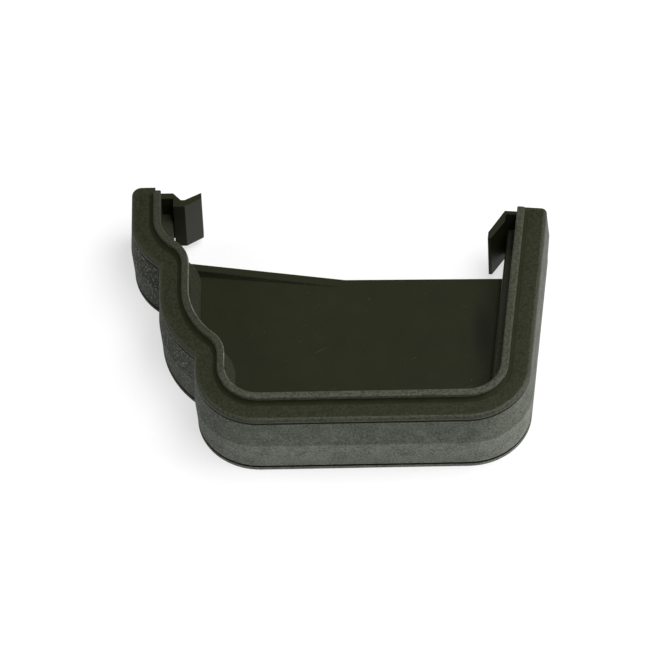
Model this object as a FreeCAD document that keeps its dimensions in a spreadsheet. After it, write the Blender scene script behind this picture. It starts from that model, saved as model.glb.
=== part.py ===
"""Ogee gutter end cap: one plastic moulding with a mouth lip, a collar, an end plate and two snap clips.

The cap stands on its closed end with the mouth up. In the sketches X runs along the sole from the front
lip to the back wall, Y runs from the sole to the gutter's open top, and Z runs out of the mouth.
Lengths are in millimetres.
"""
import FreeCAD, Part
import math
import os

import Sketcher

Vector = FreeCAD.Vector
START, END, CENTRE = 1, 2, 3
ORIGIN = -1

SIZES = {
    # Ogee line of the mouth, measured on the inner face of the wall
    "front_height": 75.0,           # front wall, from the sole to its upper end
    "upper_lobe_radius": 11.1,
    "upper_cove_round": 0.5,        # radius left in the upper cove on the outermost face
    "upper_step": 8.6,              # first riser, from the front wall
    "upper_riser": 9.4,
    "middle_lobe_radius": 22.0,
    "lower_cove_round": 0.7,
    "lower_step": 19.4,             # second riser, from the front wall
    "lower_riser": 4.5,
    "sole_lobe_radius": 10.2,
    "back_corner_place": 91.7,      # centre of the back corner, from the front wall
    "back_corner_radius": 10.1,
    "back_lean": 5.6,               # degrees that the back wall leans outwards
    "back_height": 57.7,            # back wall, along its slope from the corner to its upper end
    # Wall section
    "wall": 2.4,
    "lap": 1.2,                     # how far pieces of the moulding run into each other
    "lip_height": 27.8,
    "lip_width": 2.3,
    "lip_round": 0.5,
    "lip_fillet": 1.5,
    "shoulder_height": 25.4,
    "collar_width": 8.9,
    "edge_round": 1.2,
    "edge_land": 0.3,               # smooth strip between the rounded edge and the parting line
    "parting_depth": 0.5,
    "parting_gap": 0.7,
    "crease_height": 12.9,          # ridge where the two drafted outer bands meet
    "crease_depth": 0.6,
    "foot_height": 1.2,
    "foot_gap": 0.8,                # groove between the foot and the lower band
    "foot_groove": 0.5,
    "stop_height": 15.4,            # ledge that the gutter's end butts against
    "stop_width": 3.2,
    "stop_round": 0.6,
    # Rounded upper ends of the collar, measured on its outermost face
    "front_end_reach": 4.0,         # how far the end stands past the lip's end
    "back_end_reach": 2.7,
    "front_end_round": 3.6,
    "back_end_round": 2.4,
    "end_lap": 0.5,                 # how far an end runs in behind the lip
    # End plate, its folded free edge and the tapering rib along the front part of that edge
    "plate_height": 8.8,            # inner face of the plate
    "plate_thickness": 2.4,
    "edge_front_height": 60.3,
    "edge_fold_place": 55.2,
    "edge_fold_height": 54.0,
    "edge_back_height": 53.2,
    "edge_margin": 15.0,            # how far the trimmed area runs past the plate
    "rib_start": 3.6,
    "rib_length": 55.0,
    "rib_rise": 2.8,
    "rib_crest": 2.2,
    "rib_base": 2.8,
    # Clips, drawn out along the gutter
    "clip_height": 23.4,
    "front_clip_length": 20.2,
    "back_clip_length": 18.6,
    "clip_gap": 0.3,                # free play between a clip and the ledge
    "front_arm_thickness": 2.0,
    "nose_drop": 3.0,
    "nose_reach": 7.0,
    "notch_reach": 5.8,
    "notch_drop": 0.6,
    "wing_reach": 12.0,
    "back_arm_thickness": 1.2,
    "back_arm_reach": 3.9,
    "heel_drop": 2.6,
    "leg_reach": 8.2,
    "leg_drop": 9.3,
    "leg_tip_height": 2.2,
    "leg_tip_width": 1.0,
}


def total(*terms):
    """Adds named sizes, taking away those with a leading minus; gives the number and its expression."""
    value = 0.0
    expression = ""
    for term in terms:
        name = term.lstrip("-")
        sign = "-" if term.startswith("-") else "+"
        value += -SIZES[name] if sign == "-" else SIZES[name]
        expression += " %s Sizes.%s" % (sign, name)
    return value, "0" + expression


def bind(sketch, name, expression, kind, *place_and_value):
    """Adds a named dimension to a sketch and ties it to the sheet."""
    index = sketch.addConstraint(Sketcher.Constraint(kind, *place_and_value))
    sketch.renameConstraint(index, name)
    sketch.setExpression("Constraints." + name, expression)


def bind_point(sketch, name, edge, point, across, upward):
    """Ties one point of a sketch to its distances from the sketch's origin."""
    bind(sketch, name + "_across", across[1], "DistanceX", ORIGIN, START, edge, point, across[0])
    bind(sketch, name + "_upward", upward[1], "DistanceY", ORIGIN, START, edge, point, upward[0])


def new_sketch(body, name, role):
    """Adds a sketch to the body on one of its origin planes."""
    sketch = body.newObject("Sketcher::SketchObject", name)
    planes = [feature for feature in body.Origin.OriginFeatures if feature.Role == role]
    sketch.AttachmentSupport = [(planes[0], "")]
    sketch.MapMode = "FlatFace"
    return sketch


def draw_ogee(sketch, outset, front_top, back_top, closed=False):
    """Draws the gutter's line from the front wall's upper end to the back wall's, moved out by a size."""
    radius = {}
    for lobe in ("upper_lobe", "middle_lobe", "sole_lobe", "back_corner"):
        radius[lobe] = total(lobe + "_radius", *outset)
    inset = [term[1:] if term.startswith("-") else "-" + term for term in outset]
    for cove in ("upper_cove", "lower_cove"):
        radius[cove] = total(cove + "_round", "collar_width", "crease_depth", *inset)
    across = {
        "upper_lobe": total("upper_lobe_radius"),
        "middle_lobe": total("upper_step", "middle_lobe_radius"),
        "sole_lobe": total("lower_step", "sole_lobe_radius"),
        "back_corner": total("back_corner_place"),
    }

    # From the sole up, each cove touches the riser below it and the lobe above it
    spot = {
        "sole_lobe": Vector(across["sole_lobe"][0], SIZES["sole_lobe_radius"]),
        "back_corner": Vector(across["back_corner"][0], SIZES["back_corner_radius"]),
    }
    turn = {}
    for cove, lobe, riser, below in (("lower_cove", "middle_lobe", "lower", "sole_lobe"),
                                     ("upper_cove", "upper_lobe", "upper", "middle_lobe")):
        reach = radius[lobe][0] + radius[cove][0]
        riser_place = SIZES[riser + "_step"] - total(*outset)[0]
        spot[cove] = Vector(riser_place - radius[cove][0], spot[below].y + SIZES[riser + "_riser"])
        turn[cove] = math.acos((across[lobe][0] - spot[cove].x) / reach)
        spot[lobe] = Vector(across[lobe][0], spot[cove].y + reach * math.sin(turn[cove]))
    lean = math.radians(SIZES["back_lean"])

    def arc(name, first, last):
        circle = Part.Circle(spot[name], Vector(0, 0, 1), radius[name][0])
        return Part.ArcOfCircle(circle, first, last)

    def side(name, angle):
        return spot[name] + Vector(math.cos(angle), math.sin(angle)) * radius[name][0]

    half, full = math.pi, 2 * math.pi
    three_quarters = 1.5 * math.pi
    front_wall = Vector(side("upper_lobe", half).x, front_top[0])
    back_foot = side("back_corner", full - lean)
    back_end = back_foot + Vector(math.sin(lean), math.cos(lean)) * back_top[0]
    shapes = {
        "front_line": Part.LineSegment(front_wall, side("upper_lobe", half)),
        "upper_lobe": arc("upper_lobe", half, half + turn["upper_cove"]),
        "upper_cove": arc("upper_cove", 0, turn["upper_cove"]),
        "upper_riser": Part.LineSegment(side("upper_cove", 0), side("middle_lobe", half)),
        "middle_lobe": arc("middle_lobe", half, half + turn["lower_cove"]),
        "lower_cove": arc("lower_cove", 0, turn["lower_cove"]),
        "lower_riser": Part.LineSegment(side("lower_cove", 0), side("sole_lobe", half)),
        "sole_lobe": arc("sole_lobe", half, three_quarters),
        "sole": Part.LineSegment(side("sole_lobe", three_quarters), side("back_corner", three_quarters)),
        "back_corner": arc("back_corner", three_quarters, full - lean),
        "back_line": Part.LineSegment(back_foot, back_end),
    }
    edge = {name: sketch.addGeometry(shape, False) for name, shape in shapes.items()}

    joints = [
        ("front_line", END, "upper_lobe", START),
        ("upper_lobe", END, "upper_cove", END),
        ("upper_cove", START, "upper_riser", START),
        ("upper_riser", END, "middle_lobe", START),
        ("middle_lobe", END, "lower_cove", END),
        ("lower_cove", START, "lower_riser", START),
        ("lower_riser", END, "sole_lobe", START),
        ("sole_lobe", END, "sole", START),
        ("sole", END, "back_corner", START),
        ("back_corner", END, "back_line", START),
    ]
    for first, first_end, second, second_end in joints:
        sketch.addConstraint(Sketcher.Constraint("Tangent", edge[first], first_end, edge[second], second_end))
    for upright in ("front_line", "upper_riser", "lower_riser"):
        sketch.addConstraint(Sketcher.Constraint("Vertical", edge[upright]))
    sketch.addConstraint(Sketcher.Constraint("Horizontal", edge["sole"]))

    for name, (value, expression) in radius.items():
        bind(sketch, name + "_radius", expression, "Radius", edge[name], value)
    for name, (value, expression) in across.items():
        bind(sketch, name + "_place", expression, "DistanceX", ORIGIN, START, edge[name], CENTRE, value)
    height = total("sole_lobe_radius")
    bind(sketch, "sole_lobe_height", height[1], "DistanceY", ORIGIN, START, edge["sole_lobe"], CENTRE, height[0])
    for name in ("lower_riser", "upper_riser"):
        bind(sketch, name + "_length", "Sizes." + name, "Distance", edge[name], SIZES[name])
    bind(sketch, "front_top", front_top[1], "DistanceY", ORIGIN, START, edge["front_line"], START, front_top[0])
    bind(sketch, "back_top", back_top[1], "Distance", edge["back_line"], back_top[0])
    bind(sketch, "back_slope", "90 deg - Sizes.back_lean * 1 deg", "Angle", edge["back_line"], half / 2 - lean)
    if closed:
        last = sketch.addGeometry(Part.LineSegment(back_end, front_wall), False)
        sketch.addConstraint(Sketcher.Constraint("Coincident", edge["back_line"], END, last, START))
        sketch.addConstraint(Sketcher.Constraint("Coincident", last, END, edge["front_line"], START))


def draw_outline(sketch, corners):
    """Draws a closed outline through corners; each says how its edge goes on to the next corner.

    An edge is a straight "line", or a quarter round that leaves its corner "level" or "upright".
    """
    count = len(corners)
    points = [Vector(across[0], upward[0]) for across, upward, _ in corners]
    edges = []
    for number, (_, _, form) in enumerate(corners):
        here = points[number]
        there = points[(number + 1) % count]
        if form == "line":
            edges.append((sketch.addGeometry(Part.LineSegment(here, there), False), START, END))
            continue
        middle = Vector(here.x, there.y) if form == "level" else Vector(there.x, here.y)
        first, last = here - middle, there - middle
        leftward = first.x * last.y - first.y * last.x > 0
        if not leftward:
            first, last = last, first
        circle = Part.Circle(middle, Vector(0, 0, 1), first.Length)
        sweep = Part.ArcOfCircle(circle, math.atan2(first.y, first.x), math.atan2(last.y, last.x))
        index = sketch.addGeometry(sweep, False)
        edges.append((index, START, END) if leftward else (index, END, START))
    for number, (across, upward, form) in enumerate(corners):
        edge, start, end = edges[number]
        next_edge, next_start, _ = edges[(number + 1) % count]
        sketch.addConstraint(Sketcher.Constraint("Coincident", edge, end, next_edge, next_start))
        bind_point(sketch, "corner_%d" % number, edge, start, across, upward)
        if form != "line":
            alignment = "Vertical" if form == "level" else "Horizontal"
            sketch.addConstraint(Sketcher.Constraint(alignment, edge, CENTRE, edge, start))


doc = FreeCAD.newDocument("GutterEndCap")
sheet = doc.addObject("Spreadsheet::Sheet", "Sizes")
for row, (alias, number) in enumerate(SIZES.items(), start=1):
    sheet.set("A%d" % row, alias)
    sheet.set("B%d" % row, str(number))
    sheet.setAlias("B%d" % row, alias)
doc.recompute()

cap = doc.addObject("PartDesign::Body", "EndCap")
cap.Label = "end_cap"
zero = total()
plate_back = total("plate_height", "-plate_thickness")
mouth_front = total("front_height")
mouth_back = total("back_height")
collar_front = total("front_height", "front_end_reach", "-front_end_round")
collar_back = total("back_height", "back_end_reach", "-back_end_round")

# End plate, seated in the wall all round and trimmed to its folded free edge
plate_outline = new_sketch(cap, "PlateOutline", "XY_Plane")
plate_outline.setExpression("AttachmentOffset.Base.z", plate_back[1])
draw_ogee(plate_outline, ["-stop_width", "lap"], mouth_front, mouth_back, closed=True)
plate = cap.newObject("PartDesign::Pad", "Plate")
plate.Profile = plate_outline
plate.setExpression("Length", "Sizes.plate_thickness")
doc.recompute()
untrimmed = cap.Shape.Volume

free_edge = new_sketch(cap, "FreeEdge", "XY_Plane")
free_edge.setExpression("AttachmentOffset.Base.z", plate_back[1])
beyond_front = total("-edge_margin")
beyond_back = total("back_corner_place", "back_corner_radius", "edge_margin")
above_walls = total("front_height", "edge_margin")
draw_outline(free_edge, [
    (beyond_front, above_walls, "line"),
    (beyond_front, total("edge_front_height"), "line"),
    (zero, total("edge_front_height"), "line"),
    (total("edge_fold_place"), total("edge_fold_height"), "line"),
    (beyond_back, total("edge_back_height"), "line"),
    (beyond_back, above_walls, "line"),
])
edge_trim = cap.newObject("PartDesign::Pocket", "EdgeTrim")
edge_trim.Profile = free_edge
edge_trim.Type = "ThroughAll"
edge_trim.Midplane = True
doc.recompute()
if not cap.Shape.Volume < untrimmed:
    raise RuntimeError("the free edge trimmed nothing off the plate")

# Rib along the front part of the free edge: sloped towards the mouth, and lower and lower until the fold
slope = "(Sizes.edge_front_height - Sizes.edge_fold_height) / Sizes.edge_fold_place"
rib_section = new_sketch(cap, "RibSection", "YZ_Plane")
rib_section.setExpression("AttachmentOffset.Base.x", "Sizes.edge_front_height - Sizes.rib_start * " + slope)
rib_section.setExpression("AttachmentOffset.Base.z", "Sizes.rib_start")
rib_side = new_sketch(cap, "RibSide", "XZ_Plane")
rib_side.setExpression("AttachmentOffset.Base.z", "-Sizes.edge_front_height")
for sketch in (rib_section, rib_side):
    sketch.AttachmentOffset.Rotation.Axis = Vector(0, 1, 0)
    sketch.setExpression("AttachmentOffset.Rotation.Angle", "-atan(%s)" % slope)
rib_root = total("plate_height", "-lap")
rib_top = total("plate_height", "rib_rise")
draw_outline(rib_section, [
    (zero, rib_root, "line"),
    (zero, rib_top, "line"),
    (total("-rib_crest"), rib_top, "line"),
    (total("-rib_base"), total("plate_height"), "line"),
    (total("-rib_base"), rib_root, "line"),
])
rib = cap.newObject("PartDesign::Pad", "Rib")
rib.Profile = rib_section
rib.setExpression("Length", total("rib_length", "-rib_start")[1])
doc.recompute()
level_rib = cap.Shape.Volume
draw_outline(rib_side, [
    (total("rib_start"), rib_top, "line"),
    (total("rib_length"), total("plate_height"), "line"),
    (total("rib_length", "lap"), total("plate_height"), "line"),
    (total("rib_length", "lap"), total("plate_height", "rib_rise", "lap"), "line"),
    (total("rib_start"), total("plate_height", "rib_rise", "lap"), "line"),
])
run_out = cap.newObject("PartDesign::Pocket", "RibRunOut")
run_out.Profile = rib_side
run_out.Type = "ThroughAll"
run_out.Midplane = True
doc.recompute()
if not cap.Shape.Volume < level_rib:
    raise RuntimeError("the rib does not run out")

# Collar: two drafted outer bands, a rounded shoulder and a foot, parted by two fine grooves
edge_low = total("shoulder_height", "-edge_round")
groove_top = total("shoulder_height", "-edge_round", "-edge_land")
groove_low = total("shoulder_height", "-edge_round", "-edge_land", "-parting_gap")
foot_groove_top = total("foot_height", "foot_gap")


def outer_face(place):
    """Lists the corners of the collar's outer face from shoulder to foot; place sets a depth behind it."""
    return [
        (place("edge_round"), total("shoulder_height"), "level"),
        (place(), edge_low, "line"),
        (place(), groove_top, "line"),
        (place("parting_depth"), groove_top, "line"),
        (place("parting_depth"), groove_low, "line"),
        (place(), groove_low, "line"),
        (place("-crease_depth"), total("crease_height"), "line"),
        (place(), foot_groove_top, "line"),
        (place("foot_groove"), foot_groove_top, "line"),
        (place("foot_groove"), total("foot_height"), "line"),
        (place(), total("foot_height"), "line"),
        (place(), zero, "line"),
    ]


collar_path = new_sketch(cap, "CollarPath", "XY_Plane")
draw_ogee(collar_path, [], collar_front, collar_back)
collar_section = new_sketch(cap, "CollarSection", "XZ_Plane")
collar_section.setExpression("AttachmentOffset.Base.z", "-(%s)" % collar_front[1])
skirt_face = total("-collar_width", "wall")
wall_core = total("-lap")
draw_outline(collar_section, outer_face(lambda *depth: total("-collar_width", *depth)) + [
    (skirt_face, zero, "line"),
    (skirt_face, plate_back, "line"),
    (wall_core, plate_back, "line"),
    (wall_core, total("shoulder_height"), "line"),
])
collar = cap.newObject("PartDesign::AdditivePipe", "Collar")
collar.Profile = collar_section
collar.Spine = collar_path
doc.recompute()

# Upper ends of the collar: its outer face turns a rounded corner and runs in behind the end of the lip
front_end = new_sketch(cap, "FrontEndSection", "YZ_Plane")
front_end.setExpression("AttachmentOffset.Base.x", collar_front[1])
front_end.setExpression("AttachmentOffset.Base.z", total("-collar_width", "-crease_depth", "front_end_round")[1])
back_end = new_sketch(cap, "BackEndSection", "YZ_Plane")
lean = "Sizes.back_lean * 1 deg"
outward = total("back_corner_radius", "collar_width", "crease_depth", "-back_end_round")[1]
turned = {"along": collar_back[1], "outward": outward, "lean": lean}
back_end.setExpression("AttachmentOffset.Base.x", (
    "Sizes.back_corner_radius + (%(along)s) * cos(%(lean)s) - (%(outward)s) * sin(%(lean)s)" % turned))
back_end.setExpression("AttachmentOffset.Base.z", (
    "Sizes.back_corner_place + (%(along)s) * sin(%(lean)s) + (%(outward)s) * cos(%(lean)s)" % turned))
back_end.AttachmentOffset.Rotation.Axis = Vector(0, 1, 0)
back_end.setExpression("AttachmentOffset.Rotation.Angle", "-" + lean)
for name, section in (("front_end", front_end), ("back_end", back_end)):
    radius = name + "_round"


    def place(*depth):
        inward = [term[1:] if term.startswith("-") else "-" + term for term in depth]
        return total(radius, "-crease_depth", *inward)


    draw_outline(section, outer_face(place) + [
        (zero, zero, "line"),
        (zero, total("shoulder_height"), "line"),
    ])
    unended = cap.Shape.Volume
    corner = cap.newObject("PartDesign::Revolution", name.title().replace("_", "") + "Corner")
    corner.Profile = section
    corner.ReferenceAxis = (section, ["V_Axis"])
    corner.Angle = 90
    corner.Reversed = section is back_end
    wall = cap.newObject("PartDesign::Pad", name.title().replace("_", "") + "Wall")
    wall.Profile = section
    wall.setExpression("Length", total("collar_width", "crease_depth", "-" + radius, "-lip_width", "end_lap")[1])
    wall.Reversed = section is back_end
    doc.recompute()
    if not cap.Shape.Volume > unended:
        raise RuntimeError("the collar's %s added nothing" % name)
square_channel = cap.Shape.Volume

# Channel that keeps the walls thin, open at the closed end of the cap and stepped in under the ledge
channel_section = new_sketch(cap, "ChannelSection", "XZ_Plane")
channel_section.setExpression("AttachmentOffset.Base.z", "-(%s)" % collar_front[1])
channel_roof = total("shoulder_height", "-wall")
under_ledge = total("stop_height", "-wall")
ledge_back = total("stop_width", "-wall")
inner_wall_back = total("-wall")
below_wall = total("plate_height", "-plate_thickness", "-lap")
draw_outline(channel_section, [
    (ledge_back, below_wall, "line"),
    (ledge_back, under_ledge, "line"),
    (inner_wall_back, under_ledge, "line"),
    (inner_wall_back, channel_roof, "line"),
    (skirt_face, channel_roof, "line"),
    (skirt_face, below_wall, "line"),
])
channel = cap.newObject("PartDesign::SubtractivePipe", "Channel")
channel.Profile = channel_section
channel.Spine = collar_path
doc.recompute()
if not cap.Shape.Volume < square_channel:
    raise RuntimeError("the channel cut nothing out of the collar")

# Mouth lip above the shoulder, the inner wall under it and the ledge that stops the gutter
mouth_path = new_sketch(cap, "MouthPath", "XY_Plane")
draw_ogee(mouth_path, [], mouth_front, mouth_back)
lip_section = new_sketch(cap, "LipSection", "XZ_Plane")
lip_section.setExpression("AttachmentOffset.Base.z", "-(%s)" % mouth_front[1])
lip_back = total("-lip_width")
stop_face = total("stop_width")
rooted = total("shoulder_height", "-lap")
draw_outline(lip_section, [
    (stop_face, plate_back, "line"),
    (stop_face, total("stop_height", "-stop_round"), "upright"),
    (total("stop_width", "-stop_round"), total("stop_height"), "line"),
    (zero, total("stop_height"), "line"),
    (zero, total("lip_height", "-lip_round"), "upright"),
    (total("-lip_round"), total("lip_height"), "line"),
    (total("-lip_width", "lip_round"), total("lip_height"), "level"),
    (lip_back, total("lip_height", "-lip_round"), "line"),
    (lip_back, total("shoulder_height", "lip_fillet"), "upright"),
    (total("-lip_width", "-lip_fillet"), total("shoulder_height"), "line"),
    (total("-lip_width", "-lip_fillet"), rooted, "line"),
    (lip_back, rooted, "line"),
    (lip_back, under_ledge, "line"),
    (ledge_back, under_ledge, "line"),
    (ledge_back, plate_back, "line"),
])
lip = cap.newObject("PartDesign::AdditivePipe", "Lip")
lip.Profile = lip_section
lip.Spine = mouth_path

# Snap clips on the collar's ends: a nose with a lead-in wing in front, a sloping leg behind
clip_clear = total("stop_width", "clip_gap")
front_root = total("-wall", "-lap")
front_arm_far = total("front_height", "front_arm_thickness")
nose_low = total("front_height", "-nose_drop")
notch_low = total("front_height", "-notch_drop")
front_clip_outline = new_sketch(cap, "FrontClipOutline", "XY_Plane")
draw_outline(front_clip_outline, [
    (front_root, mouth_front, "line"),
    (clip_clear, mouth_front, "line"),
    (clip_clear, nose_low, "line"),
    (total("nose_reach"), nose_low, "line"),
    (total("wing_reach"), mouth_front, "line"),
    (total("wing_reach"), front_arm_far, "line"),
    (total("nose_reach"), notch_low, "line"),
    (total("notch_reach"), notch_low, "line"),
    (clip_clear, front_arm_far, "line"),
    (front_root, front_arm_far, "line"),
])
back_root = total("back_corner_radius", "wall", "lap")
heel = total("back_corner_radius", "-stop_width", "-clip_gap")
back_arm_far = total("back_height", "back_arm_thickness")
leg_tip = total("back_corner_radius", "-leg_reach")
leg_low = total("back_height", "-leg_drop")
back_clip_outline = new_sketch(cap, "BackClipOutline", "XY_Plane")
back_clip_outline.setExpression("AttachmentOffset.Base.x", "Sizes.back_corner_place")
back_clip_outline.setExpression("AttachmentOffset.Base.y", "Sizes.back_corner_radius")
back_clip_outline.AttachmentOffset.Rotation.Axis = Vector(0, 0, 1)
back_clip_outline.setExpression("AttachmentOffset.Rotation.Angle", "-" + lean)
draw_outline(back_clip_outline, [
    (back_root, back_arm_far, "line"),
    (total("back_corner_radius", "-back_arm_reach"), back_arm_far, "line"),
    (leg_tip, total("back_height", "-leg_drop", "leg_tip_height"), "line"),
    (leg_tip, leg_low, "line"),
    (total("back_corner_radius", "-leg_reach", "leg_tip_width"), leg_low, "line"),
    (heel, total("back_height", "-heel_drop"), "line"),
    (heel, mouth_back, "line"),
    (back_root, mouth_back, "line"),
])
for name, outline, length in (("FrontClip", front_clip_outline, "front_clip_length"),
                              ("BackClip", back_clip_outline, "back_clip_length")):
    outline.setExpression("AttachmentOffset.Base.z", total("clip_height", "-" + length)[1])
    clip = cap.newObject("PartDesign::Pad", name)
    clip.Profile = outline
    clip.setExpression("Length", "Sizes." + length)
doc.recompute()

# The cap stands on its foot, with the middle of its outline at the origin
extent = cap.Shape.optimalBoundingBox(False, False)
cap.Placement.Base = Vector(-extent.Center.x, -extent.Center.y, -extent.ZMin)
doc.recompute()

for feature in doc.Objects:
    if "Invalid" in feature.State or "Error" in feature.State:
        raise RuntimeError("%s failed: %s" % (feature.Name, feature.State))
if cap.Shape.isNull() or not cap.Shape.isValid():
    raise RuntimeError("the end cap is not a valid solid")

os.makedirs("parts", exist_ok=True)
cap.Shape.exportStep("parts/%s.step" % cap.Label)
print(cap.Label, len(cap.Shape.Solids), "solid", round(cap.Shape.Volume), "cubic mm", extent)
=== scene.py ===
import math

import bpy
from mathutils import Matrix, Vector


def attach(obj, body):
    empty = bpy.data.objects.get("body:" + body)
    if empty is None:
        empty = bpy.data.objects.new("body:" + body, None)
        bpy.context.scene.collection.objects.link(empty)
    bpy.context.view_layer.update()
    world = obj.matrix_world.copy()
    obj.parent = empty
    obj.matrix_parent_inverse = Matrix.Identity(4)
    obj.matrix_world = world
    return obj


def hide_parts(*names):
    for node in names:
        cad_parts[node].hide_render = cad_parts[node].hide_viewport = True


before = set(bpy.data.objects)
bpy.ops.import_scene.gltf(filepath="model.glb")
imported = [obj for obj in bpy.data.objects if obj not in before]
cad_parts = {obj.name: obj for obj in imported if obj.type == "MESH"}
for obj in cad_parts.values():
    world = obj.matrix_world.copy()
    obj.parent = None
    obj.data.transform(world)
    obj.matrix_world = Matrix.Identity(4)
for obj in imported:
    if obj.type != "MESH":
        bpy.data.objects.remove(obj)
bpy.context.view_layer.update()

# The cap closes an ogee rain gutter's end and holds on by two snap clips. It is one injection moulding in
# rigid gutter plastic: the outer bands took a spark-eroded grain from the mould, the mouth side came off
# smooth steel, and the lip and the shoulder's edge are rubbed pale.
MM = 0.001

# The mesh is the solid's own, with its seams merged and its flat faces joined
MERGE = 0.002 * MM
FLAT_ANGLE = math.radians(0.3)
bpy.ops.object.select_all(action="DESELECT")
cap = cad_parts["end_cap"].copy()
cap.data = cap.data.copy()
cap.name = "moulded_cap"
bpy.context.scene.collection.objects.link(cap)
bpy.context.view_layer.objects.active = cap
cap.select_set(True)
bpy.ops.object.mode_set(mode="EDIT")
bpy.ops.mesh.select_mode(type="EDGE")
bpy.ops.mesh.select_all(action="SELECT")
bpy.ops.mesh.remove_doubles(threshold=MERGE)
bpy.ops.mesh.dissolve_limited(angle_limit=FLAT_ANGLE)

# Arrises of the clips, the plate and the ledge get a small radius; the two fine grooves stay crisp.
# Heights are in millimetres over the table.
ARRIS = 0.22 * MM
ARRIS_ANGLE = math.radians(28)
GROOVES = (-0.1, 2.1), (23.1, 24.0)
bpy.ops.mesh.select_all(action="DESELECT")
bpy.ops.mesh.edges_select_sharp(sharpness=ARRIS_ANGLE)
bpy.ops.object.mode_set(mode="OBJECT")
for edge in cap.data.edges:
    heights = [cap.data.vertices[end].co.z / MM for end in edge.vertices]
    if any(low < min(heights) and max(heights) < high for low, high in GROOVES):
        edge.select = False
bpy.ops.object.mode_set(mode="EDIT")
bpy.ops.mesh.bevel(offset=ARRIS, segments=2, profile=0.5, clamp_overlap=True)

# The crease between the two outer bands is shallow but crisp
CREASE_HEIGHT = 12.9
CREASE_REACH = 0.01
ROUNDED_ANGLE = math.radians(40)
bpy.ops.mesh.select_all(action="DESELECT")
bpy.ops.object.mode_set(mode="OBJECT")
bpy.ops.object.shade_smooth_by_angle(angle=ROUNDED_ANGLE)
for edge in cap.data.edges:
    heights = [cap.data.vertices[end].co.z / MM for end in edge.vertices]
    edge.select = all(abs(height - CREASE_HEIGHT) < CREASE_REACH for height in heights)
bpy.ops.object.mode_set(mode="EDIT")
bpy.ops.mesh.mark_sharp()
bpy.ops.object.mode_set(mode="OBJECT")
even = cap.modifiers.new("even", "WEIGHTED_NORMAL")
even.keep_sharp = True
bpy.ops.object.modifier_apply(modifier=even.name)


def linear(code):
    """Turns an sRGB hex colour into the linear values that sockets take."""
    parts = [int(code[start:start + 2], 16) / 255 for start in (1, 3, 5)]
    return [part / 12.92 if part <= 0.04045 else ((part + 0.055) / 1.055) ** 2.4 for part in parts] + [1.0]


def add(tree, kind, settings=None, inputs=None):
    """Adds one node with its settings, and sets its inputs to values or links them to outputs."""
    node = tree.nodes.new(kind)
    for name, value in (settings or {}).items():
        setattr(node, name, value)
    for name, value in (inputs or {}).items():
        if isinstance(value, bpy.types.NodeSocket):
            tree.links.new(value, node.inputs[name])
        else:
            node.inputs[name].default_value = value
    return node


# Rigid gutter plastic off smooth steel: dark olive with a dull satin sheen and a faint cloudiness, mottled
# on the shoulder by handling, with a few pale specks and hair scratches, and a soft darker patch on the
# plate by the back wall. The hair scratches are drawn wider than real ones, so that they show.
SHOULDER = 25.4 * MM
SCRATCH_TURN = math.radians(28)
SCRATCH_SIZE = 6 * MM, 0.35 * MM, 6 * MM
DARK_PATCH_PLACE = 42.5 * MM, -1 * MM, 8.8 * MM
DARK_PATCH_REACH = 4 * MM, 13 * MM, 4 * MM
smooth = bpy.data.materials.new("rigid_pvc_smooth_mould")
smooth.use_nodes = True
tree = smooth.node_tree
tree.nodes.clear()
spot = add(tree, "ShaderNodeTexCoord").outputs["Object"]
cloud = add(tree, "ShaderNodeTexNoise", {}, {"Vector": spot, "Scale": 1 / (7 * MM), "Detail": 4.0})
deep = add(tree, "ShaderNodeMix", {"data_type": "RGBA"}, {
    "Factor": cloud.outputs["Fac"], "A": linear("#1b1d0b"), "B": linear("#232512")})
mottle = add(tree, "ShaderNodeTexNoise", {}, {"Vector": spot, "Scale": 1 / (0.7 * MM), "Detail": 4.0})
mottled = add(tree, "ShaderNodeMapRange", {}, {
    "Value": mottle.outputs["Fac"], "From Min": 0.28, "From Max": 0.72})
handled = add(tree, "ShaderNodeMix", {"data_type": "RGBA"}, {
    "Factor": mottled.outputs["Result"], "A": linear("#181a0a"), "B": linear("#313322")})
height = add(tree, "ShaderNodeSeparateXYZ", {}, {"Vector": spot})
up = add(tree, "ShaderNodeMapRange", {}, {
    "Value": height.outputs["Z"], "From Min": SHOULDER - 2 * MM, "From Max": SHOULDER})
tone = add(tree, "ShaderNodeMix", {"data_type": "RGBA"}, {
    "Factor": up.outputs["Result"], "A": deep.outputs["Result"], "B": handled.outputs["Result"]})
speck = add(tree, "ShaderNodeTexNoise", {}, {"Vector": spot, "Scale": 1 / (0.9 * MM), "Detail": 1.0})
specks = add(tree, "ShaderNodeMapRange", {}, {
    "Value": speck.outputs["Fac"], "From Min": 0.75, "From Max": 0.87})
dusty = add(tree, "ShaderNodeMix", {"data_type": "RGBA"}, {
    "Factor": specks.outputs["Result"], "A": tone.outputs["Result"], "B": linear("#45473b")})
drag = add(tree, "ShaderNodeMapping", {"vector_type": "TEXTURE"}, {
    "Vector": spot, "Rotation": (0, 0, SCRATCH_TURN), "Scale": SCRATCH_SIZE})
hair = add(tree, "ShaderNodeTexNoise", {}, {"Vector": drag.outputs["Vector"], "Scale": 1.0, "Detail": 0.0})
hairs = add(tree, "ShaderNodeMapRange", {}, {
    "Value": hair.outputs["Fac"], "From Min": 0.87, "From Max": 0.92, "To Max": 0.6})
scratched = add(tree, "ShaderNodeMix", {"data_type": "RGBA"}, {
    "Factor": hairs.outputs["Result"], "A": dusty.outputs["Result"], "B": linear("#4b4d40")})
# A soft patch on the plate by the back wall, darkest at its middle.
patch_space = add(tree, "ShaderNodeMapping", {"vector_type": "TEXTURE"}, {
    "Vector": spot, "Location": DARK_PATCH_PLACE, "Scale": DARK_PATCH_REACH})
patch = add(tree, "ShaderNodeTexGradient", {"gradient_type": "SPHERICAL"}, {
    "Vector": patch_space.outputs["Vector"]})
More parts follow.
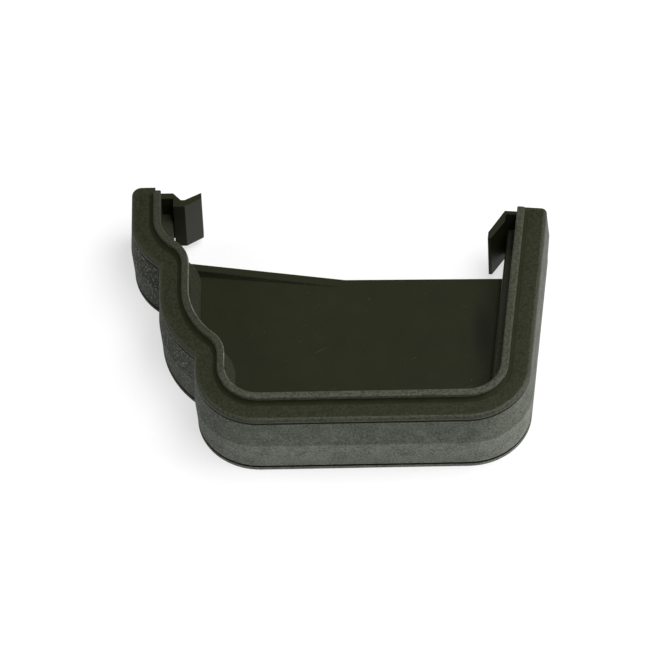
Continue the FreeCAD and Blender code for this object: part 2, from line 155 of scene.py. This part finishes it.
patch_strength = add(tree, "ShaderNodeMapRange", {}, {
    "Value": patch.outputs["Fac"], "From Min": 0.0, "From Max": 0.7, "To Max": 0.7})
patched = add(tree, "ShaderNodeMix", {"data_type": "RGBA"}, {
    "Factor": patch_strength.outputs["Result"], "A": scratched.outputs["Result"], "B": linear("#0e1006")})
peel = add(tree, "ShaderNodeTexNoise", {}, {"Vector": spot, "Scale": 1 / (0.8 * MM), "Detail": 3.0})
bump = add(tree, "ShaderNodeBump", {}, {
    "Height": peel.outputs["Fac"], "Strength": 0.5, "Distance": 0.05 * MM})
body = add(tree, "ShaderNodeBsdfPrincipled", {}, {
    "Base Color": patched.outputs["Result"], "Roughness": 0.45, "IOR": 1.53, "Specular IOR Level": 0.2,
    "Normal": bump.outputs["Normal"]})
add(tree, "ShaderNodeOutputMaterial", {}, {"Surface": body.outputs["BSDF"]})

# The same plastic with a spark-eroded grain: fine pits under whitened tips, so the bands look grey, chalky
# and speckled, with bright flecks on the ogee front. The band below the crease is painted paler, as painted
# light from the white table it faces, and the ogee front is painted darker, partly as painted shade on the
# side turned from the lamps and partly as the grain's own darker tone. The grain is drawn at 0.6 mm, coarser
# than the real one, so that it shows.
OGEE_OUTER = -52 * MM
OGEE_INNER = -28 * MM
CREASE_BLUR = 0.2
grained = bpy.data.materials.new("rigid_pvc_spark_grain")
grained.use_nodes = True
tree = grained.node_tree
tree.nodes.clear()
spot = add(tree, "ShaderNodeTexCoord").outputs["Object"]
grain = add(tree, "ShaderNodeTexNoise", {}, {
    "Vector": spot, "Scale": 1 / (0.6 * MM), "Detail": 2.0, "Roughness": 0.6})
tips = add(tree, "ShaderNodeMapRange", {}, {
    "Value": grain.outputs["Fac"], "From Min": 0.2, "From Max": 0.82})
knocks = add(tree, "ShaderNodeTexNoise", {}, {"Vector": spot, "Scale": 1 / (5 * MM), "Detail": 4.0})
knocked = add(tree, "ShaderNodeMapRange", {}, {
    "Value": knocks.outputs["Fac"], "From Min": 0.3, "From Max": 0.7})
chalk = add(tree, "ShaderNodeMix", {"data_type": "FLOAT"}, {
    "Factor": 0.2, "A": tips.outputs["Result"], "B": knocked.outputs["Result"]})
place = add(tree, "ShaderNodeSeparateXYZ", {}, {"Vector": spot})
# Whiter towards the inside; the darker ogee front is partly painted shade of the side turned from the lamps.
whitening_and_side_shade = add(tree, "ShaderNodeMapRange", {}, {
    "Value": place.outputs["X"], "From Min": OGEE_OUTER, "From Max": OGEE_INNER})
white = add(tree, "ShaderNodeMath", {"operation": "MULTIPLY"})
tree.links.new(chalk.outputs["Result"], white.inputs[0])
tree.links.new(whitening_and_side_shade.outputs["Result"], white.inputs[1])
upper = add(tree, "ShaderNodeMix", {"data_type": "RGBA"}, {
    "Factor": white.outputs["Value"], "A": linear("#20231a"), "B": linear("#777b71")})
# Below the crease the band is painted paler: painted light from the white table that it faces.
lower = add(tree, "ShaderNodeMix", {"data_type": "RGBA"}, {
    "Factor": white.outputs["Value"], "A": linear("#2c2f27"), "B": linear("#8e9288")})
below = add(tree, "ShaderNodeMapRange", {}, {
    "Value": place.outputs["Z"], "From Min": (CREASE_HEIGHT + CREASE_BLUR) * MM,
    "From Max": (CREASE_HEIGHT - CREASE_BLUR) * MM})
tone = add(tree, "ShaderNodeMix", {"data_type": "RGBA"}, {
    "Factor": below.outputs["Result"], "A": upper.outputs["Result"], "B": lower.outputs["Result"]})
fleck = add(tree, "ShaderNodeMapRange", {}, {
    "Value": grain.outputs["Fac"], "From Min": 0.54, "From Max": 0.68})
lobes = add(tree, "ShaderNodeMapRange", {}, {
    "Value": place.outputs["X"], "From Min": OGEE_INNER, "From Max": OGEE_OUTER, "To Max": 0.55})
flecks = add(tree, "ShaderNodeMath", {"operation": "MULTIPLY"})
tree.links.new(fleck.outputs["Result"], flecks.inputs[0])
tree.links.new(lobes.outputs["Result"], flecks.inputs[1])
flecked = add(tree, "ShaderNodeMix", {"data_type": "RGBA"}, {
    "Factor": flecks.outputs["Value"], "A": tone.outputs["Result"], "B": linear("#969a90")})
bump = add(tree, "ShaderNodeBump", {}, {
    "Height": grain.outputs["Fac"], "Strength": 1.0, "Distance": 0.25 * MM})
body = add(tree, "ShaderNodeBsdfPrincipled", {}, {
    "Base Color": flecked.outputs["Result"], "Roughness": 0.7, "IOR": 1.53, "Specular IOR Level": 0.1,
    "Normal": bump.outputs["Normal"]})
add(tree, "ShaderNodeOutputMaterial", {}, {"Surface": body.outputs["BSDF"]})

# The same plastic where it is paler and duller, as rubbed by handling: fine scuffs, most of all on the lip
# along the sole, fewer below the shoulder and fewest on the ogee front. On the ledge, the parting line's
# step and the rib's front the same pale finish is painted light, lifting the shade that falls on them.
SOLE_FADE = -22 * MM, -32 * MM
OGEE_FADE = -40 * MM, -25 * MM
rubbed_and_shade_lifted = bpy.data.materials.new("rigid_pvc_rubbed_pale_and_shade_lifted")
rubbed_and_shade_lifted.use_nodes = True
tree = rubbed_and_shade_lifted.node_tree
tree.nodes.clear()
spot = add(tree, "ShaderNodeTexCoord").outputs["Object"]
scuff = add(tree, "ShaderNodeTexNoise", {}, {"Vector": spot, "Scale": 1 / (0.7 * MM), "Detail": 3.0})
pale = add(tree, "ShaderNodeMapRange", {}, {
    "Value": scuff.outputs["Fac"], "From Min": 0.3, "From Max": 0.7})
scuffed = add(tree, "ShaderNodeMix", {"data_type": "RGBA"}, {
    "Factor": pale.outputs["Result"], "A": linear("#2c2e22"), "B": linear("#525448")})
place = add(tree, "ShaderNodeSeparateXYZ", {}, {"Vector": spot})
sole = add(tree, "ShaderNodeMapRange", {}, {
    "Value": place.outputs["Y"], "From Min": SOLE_FADE[0], "From Max": SOLE_FADE[1], "To Min": 0.7})
flat = add(tree, "ShaderNodeMapRange", {}, {
    "Value": place.outputs["X"], "From Min": OGEE_FADE[0], "From Max": OGEE_FADE[1], "To Min": 0.5})
proud = add(tree, "ShaderNodeMapRange", {}, {
    "Value": place.outputs["Z"], "From Min": SHOULDER, "From Max": SHOULDER + MM, "To Min": 0.65})
reached = add(tree, "ShaderNodeMath", {"operation": "MULTIPLY"})
tree.links.new(sole.outputs["Result"], reached.inputs[0])
tree.links.new(flat.outputs["Result"], reached.inputs[1])
worn = add(tree, "ShaderNodeMath", {"operation": "MULTIPLY"})
tree.links.new(reached.outputs["Value"], worn.inputs[0])
tree.links.new(proud.outputs["Result"], worn.inputs[1])
tone = add(tree, "ShaderNodeMix", {"data_type": "RGBA"}, {
    "Factor": worn.outputs["Value"], "A": linear("#26281a"), "B": scuffed.outputs["Result"]})
bump = add(tree, "ShaderNodeBump", {}, {
    "Height": scuff.outputs["Fac"], "Strength": 0.7, "Distance": 0.1 * MM})
body = add(tree, "ShaderNodeBsdfPrincipled", {}, {
    "Base Color": tone.outputs["Result"], "Roughness": 0.55, "IOR": 1.53, "Specular IOR Level": 0.15,
    "Normal": bump.outputs["Normal"]})
add(tree, "ShaderNodeOutputMaterial", {}, {"Surface": body.outputs["BSDF"]})

# The same plastic at the lip's root and on the clip's nose, painted dark and without any shine: painted
# shade in the corner under the lip and on the nose's shaded face.
painted_shade_finish = bpy.data.materials.new("rigid_pvc_painted_shade")
painted_shade_finish.use_nodes = True
tree = painted_shade_finish.node_tree
tree.nodes.clear()
spot = add(tree, "ShaderNodeTexCoord").outputs["Object"]
shade_cloud = add(tree, "ShaderNodeTexNoise", {}, {"Vector": spot, "Scale": 1 / (3 * MM), "Detail": 5.0})
tone = add(tree, "ShaderNodeMix", {"data_type": "RGBA"}, {
    "Factor": shade_cloud.outputs["Fac"], "A": linear("#171909"), "B": linear("#272917")})
body = add(tree, "ShaderNodeBsdfPrincipled", {}, {
    "Base Color": tone.outputs["Result"], "Roughness": 0.75, "IOR": 1.53, "Specular IOR Level": 0.1})
add(tree, "ShaderNodeOutputMaterial", {}, {"Surface": body.outputs["BSDF"]})

# The same plastic along the lip's inner edge, painted pale in stretches and shinier: a painted highlight
# where the edge catches the lamps.
painted_highlight_edge = bpy.data.materials.new("rigid_pvc_painted_highlight_edge")
painted_highlight_edge.use_nodes = True
tree = painted_highlight_edge.node_tree
tree.nodes.clear()
spot = add(tree, "ShaderNodeTexCoord").outputs["Object"]
highlight_noise = add(tree, "ShaderNodeTexNoise", {}, {"Vector": spot, "Scale": 1 / (2.5 * MM), "Detail": 3.0})
highlight_stretches = add(tree, "ShaderNodeMapRange", {}, {
    "Value": highlight_noise.outputs["Fac"], "From Min": 0.35, "From Max": 0.65})
tone = add(tree, "ShaderNodeMix", {"data_type": "RGBA"}, {
    "Factor": highlight_stretches.outputs["Result"], "A": linear("#303226"), "B": linear("#66685c")})
body = add(tree, "ShaderNodeBsdfPrincipled", {}, {
    "Base Color": tone.outputs["Result"], "Roughness": 0.4, "IOR": 1.53, "Specular IOR Level": 0.25})
add(tree, "ShaderNodeOutputMaterial", {}, {"Surface": body.outputs["BSDF"]})

# The two drafted bands and the foot are grained; the top of the lip and the shoulder's round are rubbed,
# and the ledge, the parting line's step and the rib's front take the same pale finish as painted light over
# their shade; on the ogee front the lip's inner edge carries a painted highlight; the lip's root and the
# front clip's nose are painted shade, and the rest is smooth. Places are in millimetres; the values from
# UPRIGHT on are shares of a face's normal along one axis.
LIP_LOW = 26.95
LIP_ROOT = 25.42
ROUND = 24.2, 25.38
FOOT_TOP = 1.1
SHADED_STEPS = (15.3, 15.5), (23.1, 23.3)
OGEE = -20
FREE_EDGE = 18
NOSE_PLACE = -35, 33, 23
RIB_PLACE = 10
RIB_HEIGHTS = 8.9, 11.6
UPRIGHT = 0.01
DRAFT = 0.02, 0.12
EASED = 0.05
LEVEL = 0.98
INWARD = 0.25
NOSE_FACING = -0.95
RIB_FACING = -0.8


def on_nose(face):
    """Tells whether a face is the inner side of the front clip's nose, which points at the sole."""
    x, y, z = face.center / MM
    return face.normal.y < NOSE_FACING and x < NOSE_PLACE[0] and y > NOSE_PLACE[1] and z < NOSE_PLACE[2]


def on_rib(face):
    """Tells whether a face is the front of the rib along the plate's free edge."""
    y, z = face.center.yz / MM
    return face.normal.y < RIB_FACING and y > RIB_PLACE and RIB_HEIGHTS[0] < z < RIB_HEIGHTS[1]


cap.data.materials.clear()
for finish in (smooth, grained, rubbed_and_shade_lifted, painted_shade_finish, painted_highlight_edge):
    cap.data.materials.append(finish)
for face in cap.data.polygons:
    x, y, level = face.center / MM
    rise = face.normal.z
    if DRAFT[0] < abs(rise) < DRAFT[1] or level < FOOT_TOP and abs(rise) < UPRIGHT:
        face.material_index = 1
    # On the ogee front the lip's inner edge is painted pale and shinier: a painted highlight.
    elif level > LIP_LOW and x < OGEE and y < FREE_EDGE and face.normal.x > INWARD:
        face.material_index = 4
    elif level > LIP_LOW or ROUND[0] < level < ROUND[1] and EASED < rise < LEVEL:
        face.material_index = 2
    # The ledge, the parting line's step and the rib's front are painted paler, lifting the shade on them.
    elif rise > LEVEL and any(low < level < high for low, high in SHADED_STEPS) or on_rib(face):
        face.material_index = 2
    # The lip's root and the clip's nose are painted dark as painted shade.
    elif level > LIP_ROOT or on_nose(face):
        face.material_index = 3
    else:
        face.material_index = 0
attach(cap, "root")
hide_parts("end_cap")

# The table is a sheet of matt white paper under the cap. It is lifted to white for the eye and keeps the
# cap's soft shadow.
bpy.ops.object.select_all(action="DESELECT")
bpy.ops.mesh.primitive_plane_add(size=6.0)
table = bpy.context.object
table.name = "white_table"
paper = bpy.data.materials.new("matt_white_paper")
paper.use_nodes = True
tree = paper.node_tree
tree.nodes.clear()
sheet = add(tree, "ShaderNodeBsdfDiffuse", {}, {"Color": linear("#f0f0f0")})
shade = add(tree, "ShaderNodeBsdfDiffuse", {}, {"Color": linear("#adadad")})
lift = add(tree, "ShaderNodeEmission", {}, {"Strength": 0.58})
lifted = add(tree, "ShaderNodeAddShader")
tree.links.new(shade.outputs["BSDF"], lifted.inputs[0])
tree.links.new(lift.outputs["Emission"], lifted.inputs[1])
ray = add(tree, "ShaderNodeLightPath")
looks = add(tree, "ShaderNodeMath", {"operation": "MAXIMUM"})
tree.links.new(ray.outputs["Is Camera Ray"], looks.inputs[0])
tree.links.new(ray.outputs["Is Glossy Ray"], looks.inputs[1])
sees = add(tree, "ShaderNodeMath", {"operation": "MAXIMUM"})
tree.links.new(looks.outputs["Value"], sees.inputs[0])
tree.links.new(ray.outputs["Is Transmission Ray"], sees.inputs[1])
pick = add(tree, "ShaderNodeMixShader", {}, {"Fac": sees.outputs["Value"]})
tree.links.new(sheet.outputs["BSDF"], pick.inputs[1])
tree.links.new(lifted.outputs["Shader"], pick.inputs[2])
add(tree, "ShaderNodeOutputMaterial", {}, {"Surface": pick.outputs["Shader"]})
table.data.materials.append(paper)

# The studio is a dim room with a large softbox overhead, a little to the right and in front, a panel low
# on the right and a weaker panel on the left. All three are aimed at the cap.
world = bpy.data.worlds.new("studio_room")
bpy.context.scene.world = world
world.use_nodes = True
world.node_tree.nodes["Background"].inputs["Color"].default_value = (1.0, 1.0, 1.0, 1.0)
world.node_tree.nodes["Background"].inputs["Strength"].default_value = 0.12

softbox = bpy.data.lights.new("softbox", "AREA")
softbox.shape = "RECTANGLE"
softbox.size = 1.35
softbox.size_y = 0.65
softbox.energy = 17.4
lamp = bpy.data.objects.new("softbox", softbox)
bpy.context.scene.collection.objects.link(lamp)
lamp.location = (0.42, -0.10, 1.275)
lamp.rotation_euler = (-lamp.location).to_track_quat("-Z", "Y").to_euler()

side = bpy.data.lights.new("side_panel", "AREA")
side.shape = "SQUARE"
side.size = 0.6
side.energy = 9.0
panel = bpy.data.objects.new("side_panel", side)
bpy.context.scene.collection.objects.link(panel)
panel.location = (1.2, -0.08, 0.36)
panel.rotation_euler = (-panel.location).to_track_quat("-Z", "Y").to_euler()

fill = bpy.data.lights.new("fill_panel", "AREA")
fill.shape = "SQUARE"
fill.size = 0.8
fill.energy = 6.0
card = bpy.data.objects.new("fill_panel", fill)
bpy.context.scene.collection.objects.link(card)
card.location = (-1.1, 0.0, 0.75)
card.rotation_euler = (-card.location).to_track_quat("-Z", "Y").to_euler()

# The camera stands in front, high over the sole, with a long lens and a slight tilt.
ELEVATION = math.radians(54.51)
TURN = math.radians(2.21)
ROLL = math.radians(2.87)
DISTANCE = 2.9016
MIDDLE = Vector((-3.689, 0.25, 13.8)) * MM
SHIFT_RIGHT = 1.29 * MM
SHIFT_DOWN = 3.15 * MM
across = Vector((math.cos(TURN), math.sin(TURN), 0))
away = Vector((-math.sin(TURN), math.cos(TURN), 0))
upward = away * math.sin(ELEVATION) + Vector((0, 0, math.cos(ELEVATION)))
towards = -away * math.cos(ELEVATION) + Vector((0, 0, math.sin(ELEVATION)))
right = across * math.cos(ROLL) - upward * math.sin(ROLL)
top = upward * math.cos(ROLL) + across * math.sin(ROLL)
aim = MIDDLE + right * SHIFT_RIGHT - top * SHIFT_DOWN
lens = bpy.data.cameras.new("camera")
lens.sensor_width = 36.0
lens.lens = 523.1
lens.clip_end = 20.0
camera = bpy.data.objects.new("camera", lens)
bpy.context.scene.collection.objects.link(camera)
turn = Matrix((right, top, towards)).transposed().to_4x4()
camera.matrix_world = Matrix.Translation(aim + towards * DISTANCE) @ turn
bpy.context.scene.camera = camera
bpy.context.scene.view_settings.view_transform = "Standard"
